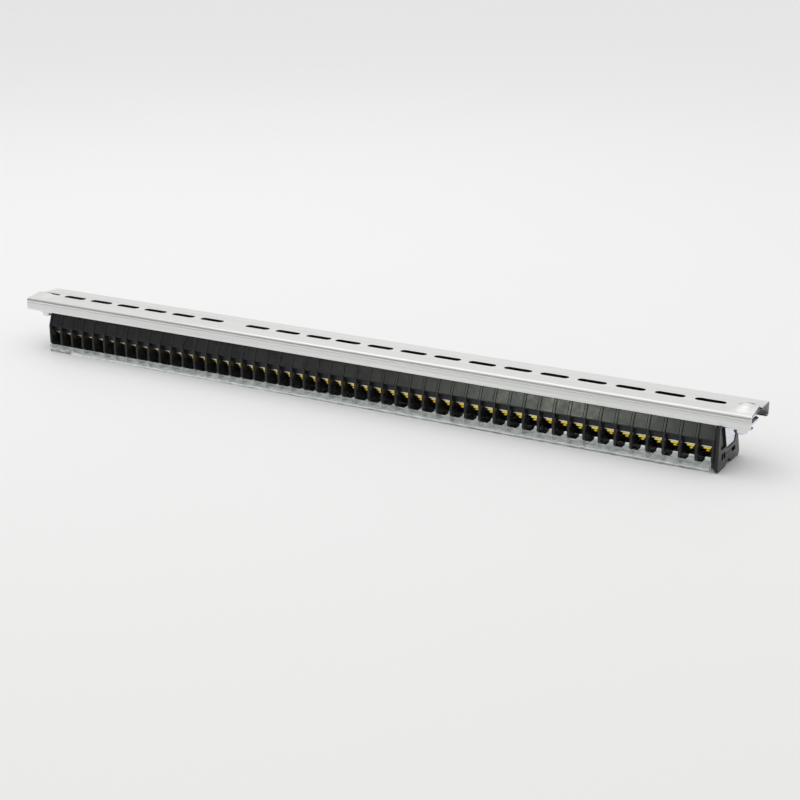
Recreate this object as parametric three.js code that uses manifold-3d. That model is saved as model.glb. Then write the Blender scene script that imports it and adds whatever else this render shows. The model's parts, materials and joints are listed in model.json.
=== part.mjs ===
// Barrier terminal strip on a slotted aluminium rail, lying face down.
// Millimetres, +Z up. X runs along the rail, -Y is the front long side, Z = 0 is the floor.
import * as THREE from 'three';
import { mergeVertices } from 'three/addons/utils/BufferGeometryUtils.js';
import Module from 'manifold-3d';

const wasm = await Module();
wasm.setup();

// ---- driving dimensions ----
const RAIL_LENGTH = 548;
const RAIL_WIDTH = 35;
const RAIL_TOP = 37.4;
const RAIL_BOTTOM = 28.9;
const RAIL_CORNER_RADIUS = 2.2;
const RAIL_CORNER_STEPS = 3;
const RAIL_WEB = 1.1;
const RAIL_WALL = 1.2;
const RAIL_LIP = 3.8;

const SLOT_LENGTH = 19;
const SLOT_WIDTH = 5.2;
const SLOT_PITCH = 25;
const SLOT_ARC_STEPS = 5;
// First slot centre and number of slots of each punching run.
const SLOT_RUNS = [
  { first: -267.7, count: 7 },
  { first: -79, count: 3 },
  { first: -6, count: 12 },
];

const POLE_COUNT = 50;
const POLE_PITCH = 10.09;
const BLOCK_LEFT = -251.8;
const BLOCK_RIGHT = BLOCK_LEFT + POLE_COUNT * POLE_PITCH;
const BANK_SIZE = 5;
const FIRST_DETAILED_POLE = 46;
const HOUSING_GAP = 0.1;
const WALL = 1.5;

const BODY_TOP = 28.6;
const BODY_TOP_HALF = 16.7;
const BODY_HALF = 20;
const SLOPE_FOOT = 21;
const PANEL_RECESS = 0.3;
const BROW_BOTTOM = 18.4;
const SEAT_HALF = 16.6;
const SEAT = 15.3;
const NECK_HALF = 11.9;
const FOOT_HALF = 15.4;
const FOOT_BOTTOM = 30.6;
const FOOT_TOP = 33.6;
const BEAM_HALF = 4.4;
const BEAM_TOP = 13.7;
const BEAM_BOTTOM = 4;

// The lower edge of a barrier, from its front face in to the groove for the cover's legs: [y, z].
const BARRIER_FOOT = [
  [-20, 6.9], [-19.3, 6.2], [-18.7, 6.2], [-18.7, 3.2], [-17.9, 2.2], [-5.4, 2.2], [-4.5, 3.4],
];
const COVER_GROOVE = [[-2.3, 3.4], [-2.3, 4.8], [-3.6, 5.6], [-3.6, 7]];

const CONDUCTOR_HALF = 16;
const CONDUCTOR_WIDTH = 7.6;
const CONDUCTOR_BOTTOM = 14;
const CONDUCTOR_TOP = 15.2;

const SCREW_Y = 11;
const SCREW_RADIUS = 1.95;
const SCREW_TOP = 22;
const SCREW_HOLE_RADIUS = 2.3;
const SCREW_BORE_TOP = 23;
const POLE_HEAD = { radius: 3.4, top: 12.3, height: 2, crown: 1.1 };
const CROWN_STEPS = 3;
const CROSS_LENGTH = 4;
const CROSS_WIDTH = 0.9;
const CROSS_DEPTH = 1.3;
const ROUND_SEGMENTS = 14;

const WASHER_WIDTH = 7;
const WASHER_DEPTH = 7.6;
const WASHER_TOP = 13.9;
const WASHER_BOTTOM = 12.4;
const WASHER_CORNER = 0.8;

const COVER_BASE = 2;
const COVER_HALF = 20;
const COVER_RIM = 1;
const COVER_RIM_TOP = 5.9;
const COVER_RIM_STEPS = 4;
const COVER_END_GAP = 0.4;
// One snap leg of the cover, from its outer root round its barb to its inner root: [y, z].
const COVER_LEG = [
  [-1.7, COVER_BASE], [-1.7, 5], [-2.9, 5.75], [-2.9, 6.1], [-1.6, 6.6], [-0.7, 6], [-0.7, COVER_BASE],
];

const END_PLATE_LEFT = BLOCK_RIGHT + 0.1;
const END_PLATE_RIGHT = 257.1;
const END_WALL = 1.4;
const END_GROOVE_RIGHT = 255.3;
const END_GROOVE_DEPTH = 1.2;
const END_POCKET_DEPTH = 1.1;
// The flange on the outside of the end plate: two legs beside the clamp's plate, and the bar that joins them.
const END_FLANGE = [
  [-11.1, 28.6], [-20, 28.6], [-20, 2.6], [-19, 0.9], [-17.4, 0.2], [-5.2, 0.4], [-3.4, 1.6], [-2.5, 3.4],
  [2.5, 3.4], [3.4, 1.2], [5, 0.4], [18.4, 0.2], [19.8, 1.2], [20, 3], [18.6, 7.7], [16.2, 13.6],
  [16.2, 28.6], [12.4, 28.6], [12.4, 18.2], [9.6, 11.4], [-4.1, 11.4],
];
// The web that ties the flange to the inner wall, set back from the flange's edges.
const END_WEB = [
  [-12, 27.4], [-18.8, 27.4], [-18.8, 3.6], [-17, 1.6], [-5.6, 1.6], [-3.6, 4.6], [3.6, 4.6], [4.6, 1.9],
  [17.4, 1.6], [18.6, 3], [17.4, 7.4], [15, 13.4], [15, 27.4], [13.4, 27.4], [13.4, 18], [10.4, 10.3],
  [-4.9, 10.3],
];
const END_POCKETS = [
  [[-19.3, 27.8], [-11.3, 27.8], [-5.5, 13.2], [-15.4, 13.2]],
  [[-13.4, 6.4], [-10.4, 6.4], [-10.4, 10.6], [-13.4, 10.6]],
  [[-9.8, 6.4], [-6, 6.4], [-7, 10.6], [-9.8, 10.6]],
  [[-4.9, 8], [3.3, 8], [3.3, 8.6], [-4.9, 8.6]],
  [[3.9, 9.3], [11, 9], [12, 6.1], [5.6, 6.1]],
];

const SHEET = 1.5;
const TAB_TOP = 28.5;
const TAB_BOTTOM = TAB_TOP - SHEET;
const TAB_LENGTH = 13.6;
const TAB_FRONT = -13.5;
const TAB_BACK = 12;
const TAB_START = 1.6;
const PLATE_BOTTOM = 12;
// Front and rear edges of the upright plate, upwards from its lower corners: [y, z].
const PLATE_FRONT = [[-3.8, PLATE_BOTTOM], [-10.6, TAB_TOP]];
const PLATE_REAR = [[9.2, PLATE_BOTTOM], [11.6, 18.4], [11.6, TAB_TOP]];
const BEND_RADIUS = 1.6;
const BEND_STEPS = 4;
const RIGHT_PLATE_X = 255.2;
const LEFT_PLATE_X = BLOCK_LEFT - 0.3;
// How far out from the upright plate's inner face the tab takes its full width.
const TAB_SHOULDER = END_PLATE_RIGHT - RIGHT_PLATE_X + 0.4;
const CLAMP_SCREW_OUT = 10.4;
const CLAMP_SCREW_Y = -8;
const CLAMP_HEAD = { radius: 4.5, top: TAB_BOTTOM - 0.1, height: 4.1, crown: 1.8 };
const CLAMP_SCREW_TOP = 34.6;
const NUT_BOTTOM = 30.5;
const NUT_TOP = 32.9;
const NUT_HALF = 15.6;
const NUT_LENGTH = 8;

const CUT_MARGIN = 1;

// ---- materials ----
function material(color, roughness, metalness) {
  return new THREE.MeshStandardMaterial({ color, roughness, metalness });
}

const makeAluminium = () => material(0xd2d3cf, 0.38, 0.9);
const makeBlackPlastic = () => material(0x1b1c1e, 0.45, 0);
const makeClearPlastic = () => material(0xdde3e0, 0.12, 0);
const makeTinnedBrass = () => material(0xcfc6a4, 0.3, 0.9);
const makeYellowZinc = () => material(0xc9a437, 0.32, 0.9);
const makeBlueZinc = () => material(0xc3cbd4, 0.3, 0.9);

// ---- geometry helpers ----
// Axes that carry a drawing in (Y, Z) extruded along X into the part's frame.
const ALONG_X = new THREE.Matrix4().makeBasis(
  new THREE.Vector3(0, 1, 0),
  new THREE.Vector3(0, 0, 1),
  new THREE.Vector3(1, 0, 0),
);

function shapeOf(points) {
  return new THREE.Shape(points.map(([a, b]) => new THREE.Vector2(a, b)));
}

function prism(points, depth) {
  return new THREE.ExtrudeGeometry(shapeOf(points), { depth, bevelEnabled: false });
}

function prismAlongX(points, fromX, toX) {
  const geometry = prism(points, toX - fromX);
  geometry.applyMatrix4(ALONG_X);
  geometry.translate(fromX, 0, 0);
  return geometry;
}

function prismAlongZ(points, fromZ, toZ) {
  const geometry = prism(points, toZ - fromZ);
  geometry.translate(0, 0, fromZ);
  return geometry;
}

function box(fromX, toX, fromY, toY, fromZ, toZ) {
  const geometry = new THREE.BoxGeometry(toX - fromX, toY - fromY, toZ - fromZ);
  geometry.translate((fromX + toX) / 2, (fromY + toY) / 2, (fromZ + toZ) / 2);
  return geometry;
}

// A turned piece about the vertical line through (x, y).
// The profile is [radius, z], from the axis and back to it.
function turned(profile, x, y) {
  const points = profile.map(([radius, z]) => new THREE.Vector2(radius, z));
  const geometry = new THREE.LatheGeometry(points, ROUND_SEGMENTS);
  geometry.rotateX(Math.PI / 2);
  geometry.translate(x, y, 0);
  return geometry;
}

function pin(radius, x, y, fromZ, toZ) {
  return turned([[0, fromZ], [radius, fromZ], [radius, toZ], [0, toZ]], x, y);
}

// Closes the outline of one half with its mirror image across Y = 0.
function mirrored(halfOutline) {
  const other = halfOutline.map(([y, z]) => [-y, z]).reverse();
  return [...halfOutline, ...other];
}

// Points of an arc in a drawing plane, both ends included.
function arc(centreA, centreB, radius, fromAngle, toAngle, steps) {
  const points = [];
  for (let i = 0; i <= steps; i += 1) {
    const angle = fromAngle + ((toAngle - fromAngle) * i) / steps;
    points.push([centreA + radius * Math.cos(angle), centreB + radius * Math.sin(angle)]);
  }
  return points;
}

function toManifold(geometry) {
  const bare = geometry.clone();
  bare.deleteAttribute('normal');
  bare.deleteAttribute('uv');
  const merged = mergeVertices(bare, 1e-5);
  const vertProperties = new Float32Array(merged.attributes.position.array);
  const triVerts = new Uint32Array(merged.index.array);
  return new wasm.Manifold(new wasm.Mesh({ numProp: 3, vertProperties, triVerts }));
}

function toGeometry(solid) {
  const mesh = solid.getMesh();
  const geometry = new THREE.BufferGeometry();
  geometry.setAttribute('position', new THREE.BufferAttribute(new Float32Array(mesh.vertProperties), 3));
  geometry.setIndex(new THREE.BufferAttribute(new Uint32Array(mesh.triVerts), 1));
  geometry.computeVertexNormals();
  return geometry;
}

function combine(added, removed) {
  let solid = toManifold(added[0]);
  for (const geometry of added.slice(1)) {
    solid = solid.add(toManifold(geometry));
  }
  for (const geometry of removed) {
    solid = solid.subtract(toManifold(geometry));
  }
  return toGeometry(solid);
}

function named(name, geometry, look) {
  const mesh = new THREE.Mesh(geometry, look);
  mesh.name = name;
  return mesh;
}

// ---- rail ----
function railOutline() {
  const half = RAIL_WIDTH / 2;
  const inner = half - RAIL_WALL;
  const lipTip = inner - RAIL_LIP;
  const lipTop = RAIL_BOTTOM + RAIL_WALL;
  const r = RAIL_CORNER_RADIUS;
  return mirrored([
    [-inner, RAIL_TOP - RAIL_WEB],
    [-inner, lipTop],
    [-lipTip, lipTop],
    [-lipTip, RAIL_BOTTOM],
    [-half, RAIL_BOTTOM],
    ...arc(r - half, RAIL_TOP - r, r, Math.PI, Math.PI / 2, RAIL_CORNER_STEPS),
  ]);
}

function slotCutter(centre) {
  const reach = (SLOT_LENGTH - SLOT_WIDTH) / 2;
  const r = SLOT_WIDTH / 2;
  const outline = [
    ...arc(centre + reach, 0, r, -Math.PI / 2, Math.PI / 2, SLOT_ARC_STEPS),
    ...arc(centre - reach, 0, r, Math.PI / 2, (3 * Math.PI) / 2, SLOT_ARC_STEPS),
  ];
  return prismAlongZ(outline, RAIL_TOP - RAIL_WEB - CUT_MARGIN, RAIL_TOP + CUT_MARGIN);
}

function slotCentres() {
  const centres = [];
  for (const run of SLOT_RUNS) {
    for (let i = 0; i < run.count; i += 1) {
      centres.push(run.first + i * SLOT_PITCH);
    }
  }
  return centres;
}

function makeRail() {
  const bar = prismAlongX(railOutline(), -RAIL_LENGTH / 2, RAIL_LENGTH / 2);
  return named('rail', combine([bar], slotCentres().map(slotCutter)), makeAluminium());
}

// ---- housings ----
// Half of the foot that slides into the rail.
function footHalf() {
  return [
    [-FOOT_HALF, FOOT_TOP],
    [-FOOT_HALF, FOOT_BOTTOM],
    [-NECK_HALF, FOOT_BOTTOM],
    [-NECK_HALF, BODY_TOP],
  ];
}

// The body of a pole; its sloping panels lie a little behind the edges of the barriers.
function bodyOutline() {
  return mirrored([
    ...footHalf(),
    [PANEL_RECESS - BODY_TOP_HALF, BODY_TOP],
    [PANEL_RECESS - BODY_HALF, SLOPE_FOOT],
    [PANEL_RECESS - BODY_HALF, BROW_BOTTOM],
    [-SEAT_HALF, BROW_BOTTOM],
    [-SEAT_HALF, SEAT],
  ]);
}

// The barrier between two poles: two lobes with the groove for the cover's legs between them.
function barrierOutline() {
  return mirrored([
    [-BODY_TOP_HALF, BODY_TOP],
    [-BODY_HALF, SLOPE_FOOT],
    ...BARRIER_FOOT,
    ...COVER_GROOVE,
  ]);
}

// The beam under the conductor; the groove's mouth is a little higher here than in a barrier.
function beamOutline() {
  const [[mouthY], ...grooveAbove] = COVER_GROOVE;
  return mirrored([
    [-BEAM_HALF, BEAM_TOP],
    [-BEAM_HALF, BEAM_BOTTOM],
    [mouthY, BEAM_BOTTOM],
    ...grooveAbove,
  ]);
}

function poleLeft(pole) {
  return BLOCK_LEFT + (pole - 1) * POLE_PITCH;
}

function screwX(pole) {
  return poleLeft(pole) + (WALL + POLE_PITCH) / 2;
}

function housingSolids(firstPole, poles) {
  const left = poleLeft(firstPole);
  const right = left + poles * POLE_PITCH - HOUSING_GAP;
  const solids = [prismAlongX(bodyOutline(), left, right)];
  for (let i = 0; i < poles; i += 1) {
    const wallLeft = poleLeft(firstPole + i);
    solids.push(prismAlongX(barrierOutline(), wallLeft, wallLeft + WALL));
  }
  solids.push(prismAlongX(beamOutline(), left, right));
  return solids;
}

function makeHousingBank(firstPole) {
  const lastPole = firstPole + BANK_SIZE - 1;
  const label = (pole) => String(pole).padStart(2, '0');
  const geometry = combine(housingSolids(firstPole, BANK_SIZE), []);
  return named(`housings_${label(firstPole)}_to_${label(lastPole)}`, geometry, makeBlackPlastic());
}

function makeHousing(pole) {
  const bores = [-SCREW_Y, SCREW_Y].map((y) => (
    pin(SCREW_HOLE_RADIUS, screwX(pole), y, SEAT - CUT_MARGIN, SCREW_BORE_TOP)
  ));
  return named(`pole_${pole}_housing`, combine(housingSolids(pole, 1), bores), makeBlackPlastic());
}

// ---- contact parts of a pole ----
function makeConductor(pole) {
  const x = screwX(pole);
  const half = CONDUCTOR_WIDTH / 2;
  const bar = box(x - half, x + half, -CONDUCTOR_HALF, CONDUCTOR_HALF, CONDUCTOR_BOTTOM, CONDUCTOR_TOP);
  const holes = [-SCREW_Y, SCREW_Y].map((y) => (
    pin(SCREW_HOLE_RADIUS, x, y, CONDUCTOR_BOTTOM - CUT_MARGIN, CONDUCTOR_TOP + CUT_MARGIN)
  ));
  return named(`pole_${pole}_conductor`, combine([bar], holes), makeTinnedBrass());
}

function crossCutters(x, y, bottom) {
  const long = CROSS_LENGTH / 2;
  const narrow = CROSS_WIDTH / 2;
  return [
    box(x - long, x + long, y - narrow, y + narrow, bottom - CUT_MARGIN, bottom + CROSS_DEPTH),
    box(x - narrow, x + narrow, y - long, y + long, bottom - CUT_MARGIN, bottom + CROSS_DEPTH),
  ];
}

// A pan-head screw with its head downwards.
function screwGeometry(x, y, head, shankTop) {
  const headBottom = head.top - head.height;
  const r = head.crown;
  const blank = turned([
    [0, headBottom],
    ...arc(head.radius - r, headBottom + r, r, -Math.PI / 2, 0, CROWN_STEPS),
    [head.radius, head.top],
    [SCREW_RADIUS, head.top],
    [SCREW_RADIUS, shankTop],
    [0, shankTop],
  ], x, y);
  return combine([blank], crossCutters(x, y, headBottom));
}

function makePoleScrew(pole, side, y) {
  const geometry = screwGeometry(screwX(pole), y, POLE_HEAD, SCREW_TOP);
  return named(`pole_${pole}_${side}_screw`, geometry, makeYellowZinc());
}

function makePoleWasher(pole, side, y) {
  const x = screwX(pole);
  const halfX = WASHER_WIDTH / 2;
  const halfY = WASHER_DEPTH / 2;
  const c = WASHER_CORNER;
  const outline = [
    [x - halfX + c, y - halfY],
    [x + halfX - c, y - halfY],
    [x + halfX, y - halfY + c],
    [x + halfX, y + halfY - c],
    [x + halfX - c, y + halfY],
    [x - halfX + c, y + halfY],
    [x - halfX, y + halfY - c],
    [x - halfX, y - halfY + c],
  ];
  const plate = prismAlongZ(outline, WASHER_BOTTOM, WASHER_TOP);
  const hole = pin(SCREW_HOLE_RADIUS, x, y, WASHER_BOTTOM - CUT_MARGIN, WASHER_TOP + CUT_MARGIN);
  return named(`pole_${pole}_${side}_washer`, combine([plate], [hole]), makeYellowZinc());
}

function makeDetailedPole(pole) {
  const group = new THREE.Group();
  group.name = `pole_${pole}`;
  group.add(makeHousing(pole), makeConductor(pole));
  for (const [side, y] of [['front', -SCREW_Y], ['rear', SCREW_Y]]) {
    group.add(makePoleScrew(pole, side, y), makePoleWasher(pole, side, y));
  }
  return group;
}

// ---- clear cover ----
// A shallow channel with round-topped rims and two snap legs along its middle.
function coverOutline() {
  const r = COVER_RIM / 2;
  return mirrored([
    [-COVER_HALF, 0],
    ...arc(r - COVER_HALF, COVER_RIM_TOP - r, r, Math.PI, 0, COVER_RIM_STEPS),
    [COVER_RIM - COVER_HALF, COVER_BASE],
    ...COVER_LEG,
  ]);
}

function makeCover() {
  const geometry = prismAlongX(coverOutline(), BLOCK_LEFT, BLOCK_RIGHT - COVER_END_GAP);
  return named('cover', geometry, makeClearPlastic());
}

// ---- end plate ----
// An inner wall shaped like a barrier, with a rail foot, and an outer flange behind an open groove.
function makeEndPlate() {
  const wallRight = END_PLATE_LEFT + END_WALL;
  const pocketFloor = END_PLATE_RIGHT - END_POCKET_DEPTH;
  const overlap = END_GROOVE_DEPTH / 4;
  const solids = [
    prismAlongX(barrierOutline(), END_PLATE_LEFT, wallRight),
    prismAlongX(mirrored([...footHalf(), [-NECK_HALF, SLOPE_FOOT]]), END_PLATE_LEFT, wallRight),
    prismAlongX(END_WEB, wallRight - overlap, END_GROOVE_RIGHT + overlap),
    prismAlongX(END_FLANGE, END_GROOVE_RIGHT, END_PLATE_RIGHT),
  ];
  const outside = END_PLATE_RIGHT + CUT_MARGIN;
  const pockets = END_POCKETS.map((outline) => prismAlongX(outline, pocketFloor, outside));
  return named('end_plate', combine(solids, pockets), makeBlackPlastic());
}

// ---- end clamps ----
// Side view (distance outwards, Z) of the bent sheet: an upright plate turning into a flat tab.
function bracketOutline() {
  const outer = BEND_RADIUS + SHEET;
  const centreOut = outer;
  const centreZ = TAB_BOTTOM - BEND_RADIUS;
  return [
    [0, PLATE_BOTTOM],
    [SHEET, PLATE_BOTTOM],
    ...arc(centreOut, centreZ, BEND_RADIUS, Math.PI, Math.PI / 2, BEND_STEPS),
    [TAB_START + TAB_LENGTH, TAB_BOTTOM],
    [TAB_START + TAB_LENGTH, TAB_TOP],
    ...arc(centreOut, centreZ, outer, Math.PI / 2, Math.PI, BEND_STEPS),
  ];
}

// Draws the side view in (X, Z) and extrudes it from the front to the back; direction is +1 or -1 along X.
function bracketSheet(originX, direction) {
  const outline = bracketOutline().map(([out, z]) => [originX + direction * out, z]);
  const geometry = prism(outline, TAB_BACK - TAB_FRONT);
  geometry.rotateX(Math.PI / 2);
  geometry.translate(0, TAB_BACK, 0);
  return geometry;
}

// What lies beyond an edge of the upright plate, between below and above, out to sideY.
function besideEdge(edge, sideY, below, above) {
  const [lowY] = edge[0];
  const [highY] = edge[edge.length - 1];
  return [[sideY, below], [lowY, below], ...edge, [highY, above], [sideY, above]];
}

// The bent sheet, trimmed to the narrower upright plate and drilled for the screw.
function makeBracket(name, originX, direction) {
  const ends = [originX - direction * CUT_MARGIN, originX + direction * TAB_SHOULDER];
  const near = Math.min(...ends);
  const far = Math.max(...ends);
  const below = PLATE_BOTTOM - CUT_MARGIN;
  const above = TAB_TOP + CUT_MARGIN;
  const frontTrim = besideEdge(PLATE_FRONT, TAB_FRONT - CUT_MARGIN, below, above);
  const rearTrim = besideEdge(PLATE_REAR, TAB_BACK + CUT_MARGIN, below, above);
  const screwAt = originX + direction * CLAMP_SCREW_OUT;
  const cutters = [
    prismAlongX(frontTrim, near, far),
    prismAlongX(rearTrim, near, far),
    pin(SCREW_HOLE_RADIUS, screwAt, CLAMP_SCREW_Y, TAB_BOTTOM - CUT_MARGIN, above),
  ];
  return named(name, combine([bracketSheet(originX, direction)], cutters), makeBlueZinc());
}

function makeClampScrew(name, x) {
  const geometry = screwGeometry(x, CLAMP_SCREW_Y, CLAMP_HEAD, CLAMP_SCREW_TOP);
  return named(name, geometry, makeBlueZinc());
}

function makeClampNut(name, x) {
  const half = NUT_LENGTH / 2;
  const plate = box(x - half, x + half, -NUT_HALF, NUT_HALF, NUT_BOTTOM, NUT_TOP);
  const hole = pin(SCREW_HOLE_RADIUS, x, CLAMP_SCREW_Y, NUT_BOTTOM - CUT_MARGIN, NUT_TOP + CUT_MARGIN);
  return named(name, combine([plate], [hole]), makeBlueZinc());
}

function makeEndClamp(side, originX, direction) {
  const group = new THREE.Group();
  const screwAt = originX + direction * CLAMP_SCREW_OUT;
  group.name = `end_clamp_${side}`;
  group.add(
    makeBracket(`clamp_bracket_${side}`, originX, direction),
    makeClampScrew(`clamp_screw_${side}`, screwAt),
    makeClampNut(`clamp_nut_${side}`, screwAt),
  );
  return group;
}

// ---- assembly ----
const strip = new THREE.Group();
strip.name = 'terminal_strip';
strip.add(makeRail(), makeCover(), makeEndPlate());
strip.add(makeEndClamp('left', LEFT_PLATE_X, -1), makeEndClamp('right', RIGHT_PLATE_X, 1));
for (let pole = 1; pole < FIRST_DETAILED_POLE; pole += BANK_SIZE) {
  strip.add(makeHousingBank(pole));
}
for (let pole = FIRST_DETAILED_POLE; pole <= POLE_COUNT; pole += 1) {
  strip.add(makeDetailedPole(pole));
}

export default strip;
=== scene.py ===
"""A fifty-pole barrier terminal strip on its slotted rail, lying face down on a pale floor."""

import json
import math

import bmesh
import bpy
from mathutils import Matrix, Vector

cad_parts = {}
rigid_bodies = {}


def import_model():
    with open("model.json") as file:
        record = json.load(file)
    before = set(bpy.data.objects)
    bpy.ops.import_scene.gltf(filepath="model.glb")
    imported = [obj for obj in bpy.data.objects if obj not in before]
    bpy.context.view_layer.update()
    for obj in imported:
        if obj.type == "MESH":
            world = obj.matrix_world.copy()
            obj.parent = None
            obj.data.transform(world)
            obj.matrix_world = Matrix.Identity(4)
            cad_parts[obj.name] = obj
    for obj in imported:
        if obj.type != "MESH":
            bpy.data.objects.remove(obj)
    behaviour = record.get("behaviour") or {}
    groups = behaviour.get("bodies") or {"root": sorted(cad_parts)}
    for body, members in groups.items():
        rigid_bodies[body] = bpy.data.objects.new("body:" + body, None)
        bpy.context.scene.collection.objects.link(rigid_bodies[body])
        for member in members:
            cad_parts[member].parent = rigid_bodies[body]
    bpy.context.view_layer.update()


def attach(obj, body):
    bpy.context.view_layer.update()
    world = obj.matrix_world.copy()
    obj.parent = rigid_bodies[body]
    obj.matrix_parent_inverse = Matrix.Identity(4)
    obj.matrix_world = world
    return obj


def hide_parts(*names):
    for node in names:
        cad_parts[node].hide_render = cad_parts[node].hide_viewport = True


MM = 0.001

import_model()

# ---- sizes, in millimetres ----
# They are the solids' own, but for the barriers' edges, the panel's recess and foot, the conductors' and
# washers' outlines and the screws' heads, which are drawn a little closer to the real shapes.
RAIL_LENGTH = 548.0
RAIL_HALF = 17.5
RAIL_TOP = 37.4
RAIL_BOTTOM = 28.9
RAIL_RADIUS = 2.2
RAIL_WEB = 1.1
RAIL_WALL = 1.2
RAIL_EDGE = 0.2
LIP_TIP = 12.5
SLOT_LENGTH = 19.0
SLOT_WIDTH = 5.2
SLOT_PITCH = 25.0
SLOT_RUNS = ((-267.7, 7), (-79.0, 3), (-6.0, 12))

POLES = 50
POLE_PITCH = 10.09
BLOCK_LEFT = -251.8
BLOCK_RIGHT = BLOCK_LEFT + POLES * POLE_PITCH
MODULE_WIDTH = POLE_PITCH - 0.1
WALL = 1.5
BARRIER_LEFT = 0.15
BARRIER_RIGHT = 1.85
BANK_SIZE = 5
FIRST_MOVING_POLE = 46

BODY_TOP = 28.6
BODY_HALF = 20.0
SEAT = 15.3
SEAT_FRONT = -16.4
PANEL_RECESS = 0.6
PANEL_TOP = -16.7
SLOPE_FOOT = 20.1
BROW_BOTTOM = 19.5
BEAM_HALF = 4.4
BEAM_TOP = 13.7
BEAM_BOTTOM = 4.0
BARRIER_FOOT = [
    (-20.0, 6.9), (-19.3, 6.2), (-18.7, 6.2), (-18.7, 3.2), (-17.9, 2.2), (-5.4, 2.2), (-4.5, 3.4),
]
COVER_GROOVE = [(-2.3, 3.4), (-2.3, 4.8), (-3.6, 5.6), (-3.6, 7.0)]
SCREW_Y = 11.0
SCREW_LOCAL_X = (WALL + POLE_PITCH) / 2
SCREW_HOLE = 2.3
SCREW_HOLE_TOP = 23.0
SHANK_RADIUS = 1.95
THREAD_PITCH = 0.7
THREAD_DEPTH = 0.22
CONDUCTOR_HALF = (3.8, 15.9)
CONDUCTOR_Z = (14.3, 15.2)
WASHER_HALF = (2.9, 3.8)
WASHER_HOLE = 2.25
WASHER_Z = (12.85, 13.85)
WASHER_RIDGES = (-3.3, -2.75, 2.75, 3.3)

END_PLATE_LEFT = BLOCK_RIGHT + 0.1
END_PLATE_RIGHT = 257.1
END_WALL = 1.4
END_GROOVE_RIGHT = 255.3

SHEET = 1.5
TAB_TOP = 28.5
TAB_BOTTOM = TAB_TOP - SHEET
TAB_REACH = 15.2
TAB_FRONT = -13.5
TAB_BACK = 12.0
PLATE_BOTTOM = 12.0
CLAMPS = (("left", BLOCK_LEFT - 0.3, -1), ("right", 255.2, 1))
CLAMP_SCREW_OUT = 10.4
CLAMP_SCREW_Y = -8.0
NUT_HALF = (4.0, 15.6)
NUT_Z = (30.5, 32.9)
NUT_HOLE = 2.1


# ---- mesh helpers ----
FACE_AREA_WEIGHT = 100
MERGE_DISTANCE = 1e-4
LONGEST_ROUNDING = 0.45


def new_object(name, bm, material, sharp_deg=35.0):
    """Turns a bmesh in millimetres into an object in metres, smooth but for edges sharper than the angle."""
    bmesh.ops.recalc_face_normals(bm, faces=bm.faces)
    bmesh.ops.scale(bm, vec=(MM, MM, MM), verts=bm.verts)
    mesh = bpy.data.meshes.new(name)
    bm.to_mesh(mesh)
    bm.free()
    finish_mesh(mesh, material, sharp_deg)
    obj = bpy.data.objects.new(name, mesh)
    bpy.context.scene.collection.objects.link(obj)
    keep_faces_flat(obj)
    return obj


def keep_faces_flat(obj):
    """Stores area-weighted normals, so that a large face stays flat beside its small bevels."""
    modifier = obj.modifiers.new("weighted_normal", "WEIGHTED_NORMAL")
    modifier.keep_sharp = True
    modifier.weight = FACE_AREA_WEIGHT
    graph = bpy.context.evaluated_depsgraph_get()
    rough = obj.data
    name = rough.name
    obj.data = bpy.data.meshes.new_from_object(obj.evaluated_get(graph), depsgraph=graph)
    obj.modifiers.clear()
    bpy.data.meshes.remove(rough)
    obj.data.name = name


def finish_mesh(mesh, material, sharp_deg):
    mesh.materials.clear()
    mesh.materials.append(material)
    mesh.polygons.foreach_set("use_smooth", [True] * len(mesh.polygons))
    mesh.set_sharp_from_angle(angle=math.radians(sharp_deg))


def loft(bm, profile, stations, place):
    """Skins a closed profile through stations; place(a, b, s) gives each point. Both ends are capped."""
    rings = [[bm.verts.new(place(a, b, s)) for a, b in profile] for s in stations]
    count = len(profile)
    for ring, following in zip(rings, rings[1:]):
        for i in range(count):
            j = (i + 1) % count
            bm.faces.new((ring[i], ring[j], following[j], following[i]))
    bm.faces.new(rings[0])
    bm.faces.new(list(reversed(rings[-1])))


def along_x(a, b, s):
    return (s, a, b)


def along_y(a, b, s):
    return (a, s, b)


def along_z(a, b, s):
    return (a, b, s)


def prism(profile, start, end, place=along_x):
    """A closed solid with the same outline all the way from start to end."""
    bm = bmesh.new()
    loft(bm, profile, (start, end), place)
    bmesh.ops.recalc_face_normals(bm, faces=bm.faces)
    return bm


def turned(profile, segments, x=0.0, y=0.0):
    """A solid of revolution about Z through (x, y); the profile runs from the axis back to the axis."""
    bm = bmesh.new()
    bottom = bm.verts.new((x, y, profile[0][1]))
    top = bm.verts.new((x, y, profile[-1][1]))
    rings = []
    for radius, z in profile[1:-1]:
        ring = []
        for i in range(segments):
            angle = 2 * math.pi * i / segments
            ring.append(bm.verts.new((x + radius * math.cos(angle), y + radius * math.sin(angle), z)))
        rings.append(ring)
    for i in range(segments):
        j = (i + 1) % segments
        bm.faces.new((bottom, rings[0][j], rings[0][i]))
        bm.faces.new((top, rings[-1][i], rings[-1][j]))
        for lower, upper in zip(rings, rings[1:]):
            bm.faces.new((lower[i], lower[j], upper[j], upper[i]))
    bmesh.ops.recalc_face_normals(bm, faces=bm.faces)
    return bm


def temporary(bm):
    """Puts the bmesh in an object that modifiers can work on; the bmesh is used up."""
    mesh = bpy.data.meshes.new("temporary")
    bm.to_mesh(mesh)
    bm.free()
    obj = bpy.data.objects.new("temporary", mesh)
    bpy.context.scene.collection.objects.link(obj)
    return obj


def evaluated(obj):
    """The object's mesh with its modifiers, as a bmesh; the object is deleted."""
    graph = bpy.context.evaluated_depsgraph_get()
    bm = bmesh.new()
    bm.from_object(obj, graph)
    mesh = obj.data
    bpy.data.objects.remove(obj)
    bpy.data.meshes.remove(mesh)
    return bm


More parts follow.
